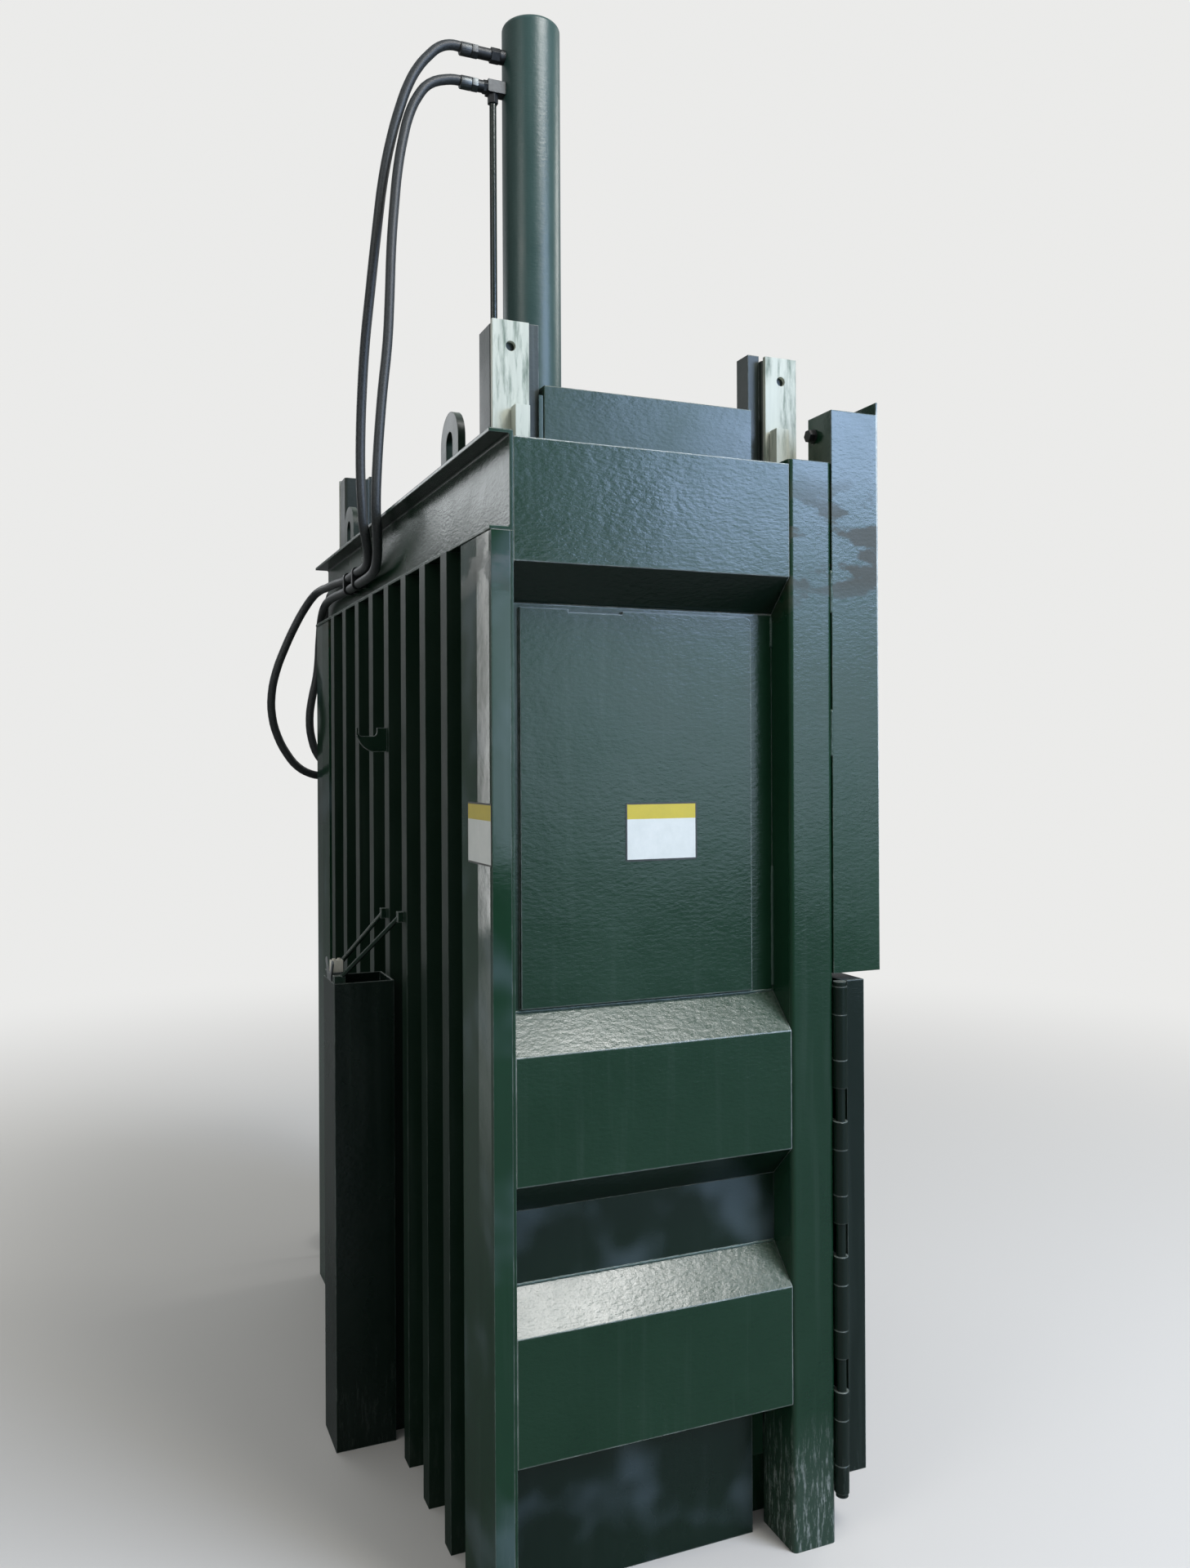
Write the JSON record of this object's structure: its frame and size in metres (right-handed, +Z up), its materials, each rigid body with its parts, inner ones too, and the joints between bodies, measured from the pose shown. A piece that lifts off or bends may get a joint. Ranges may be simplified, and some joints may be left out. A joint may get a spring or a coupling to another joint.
{
  "type": "vertical recycling baler",
  "caption": "Vertical downstroke baler with a platen on a hydraulic cylinder, a lift-up feed gate, a side-hung bale door with a screw latch and a rear box for the baling ties.",
  "frame": {"origin": "on the floor, under the middle of the baling chamber", "axes": "+Z up along the cylinder; the feed gate and the bale door face -Y; the width runs along X, with the door hinge on the -X side"},
  "size_m": [2.166, 1.001, 3.538],
  "materials": {
    "frame_paint": "dark green enamel, worn",
    "panel_paint": "dark green enamel, satin",
    "worn_steel": "rubbed bare steel",
    "rod_chrome": "polished",
    "cylinder_paint": "dark green enamel, glossy",
    "wear_plastic": "pale cream, scuffed",
    "hose_rubber": "black, matt",
    "cable_rubber": "black, satin",
    "dark_steel": "dark zinc",
    "pale_steel": "zinc plated",
    "box_paint": "thin dark green enamel",
    "motor_paint": "blue grey enamel",
    "control_paint": "light grey powder coat",
    "start_plastic": "green",
    "raise_plastic": "black",
    "stop_plastic": "red",
    "black_plastic": "black"
  },
  "bodies": {
    "frame": {"base_frame": "frame_paint", "bale_floor": "worn_steel", "rear_wall": "panel_paint", "tie_channels": "frame_paint", "corner_channels": "frame_paint", "rear_top_channel": "frame_paint", "front_posts": "frame_paint", "side_beams": "panel_paint", "top_side_beams": "panel_paint", "side_skins": "panel_paint", "side_liners": "worn_steel", "front_frame": "frame_paint", "gate_guides": "frame_paint", "gate_stop_bolts": "dark_steel", "leg_keepers": "wear_plastic", "cross_beams": "frame_paint", "cylinder_mount": "frame_paint", "barrel": "cylinder_paint", "rod_gland": "dark_steel", "ports": "dark_steel", "return_pipe": "cylinder_paint", "line_clamps": "dark_steel", "hose_a": "hose_rubber", "hose_b": "hose_rubber", "lifting_eyes": "frame_paint", "tie_box": "box_paint", "tie_hooks": "frame_paint", "block_bracket": "pale_steel", "clamp_block": "wear_plastic", "tank_shelf": "frame_paint", "oil_tank": "panel_paint", "pump_motor": "motor_paint", "valve_block": "dark_steel", "control_box": "control_paint", "post_knuckles": "frame_paint", "pins": "dark_steel", "latch_lugs": "frame_paint", "supply_gland": "black_plastic", "supply_cable": "cable_rubber", "supply_coil": "cable_rubber", "supply_end": "pale_steel"},
    "platen": {"platen_plate": "worn_steel", "platen_frame": "frame_paint", "platen_sides": "panel_paint", "guide_legs": "frame_paint", "wear_strips": "wear_plastic", "piston_rod": "rod_chrome"},
    "bale_door": {"door_skin": "panel_paint", "door_frame": "frame_paint", "door_bars": "worn_steel", "door_fittings": "frame_paint"},
    "feed_gate": {"gate_sheet": "panel_paint", "gate_frame": "frame_paint", "gate_shoes": "wear_plastic"},
    "latch_arm": {"latch_screw": "pale_steel"},
    "latch_washer": {"thrust_washer": "pale_steel"},
    "latch_wheel": {"handwheel": "dark_steel"},
    "start_key": {"start_button": "start_plastic"},
    "raise_key": {"raise_button": "raise_plastic"},
    "stop_key": {"stop_button": "stop_plastic"}
  },
  "joints": [
    {"name": "platen_slide", "type": "slide", "parent": "frame", "child": "platen", "axis": [0, 0, -1], "range_m": [0, 1.1]},
    {"name": "door_swing", "type": "hinge", "parent": "frame", "child": "bale_door", "pos_m": [-0.891, -0.36, 0.64], "axis": [0, 0, -1], "range_deg": [0, 180]},
    {"name": "gate_lift", "type": "slide", "parent": "frame", "child": "feed_gate", "axis": [0, 0, 1], "range_m": [0, 0.608]},
    {"name": "latch_swing", "type": "hinge", "parent": "frame", "child": "latch_arm", "pos_m": [0.925, -0.3, 0.64], "axis": [0, 0, -1], "range_deg": [0, 90]},
    {"name": "latch_travel", "type": "slide", "parent": "latch_arm", "child": "latch_washer", "axis": [-1, 0, 0], "range_m": [0, 0.024]},
    {"name": "wheel_spin", "type": "hinge", "parent": "latch_washer", "child": "latch_wheel", "pos_m": [1.0886, -0.3, 0.64], "axis": [1, 0, 0], "range_deg": [0, 2160]},
    {"name": "start_press", "type": "slide", "parent": "frame", "child": "start_key", "axis": [0, 1, 0], "range_m": [0, 0.0036], "stiffness_N_per_m": 400},
    {"name": "raise_press", "type": "slide", "parent": "frame", "child": "raise_key", "axis": [0, 1, 0], "range_m": [0, 0.0036], "stiffness_N_per_m": 400},
    {"name": "stop_press", "type": "slide", "parent": "frame", "child": "stop_key", "axis": [0, 1, 0], "range_m": [0, 0.004]}
  ],
  "couplings": [
    {"joint": "latch_travel", "follows": "wheel_spin", "m_per_rad": 0.000636}
  ]
}
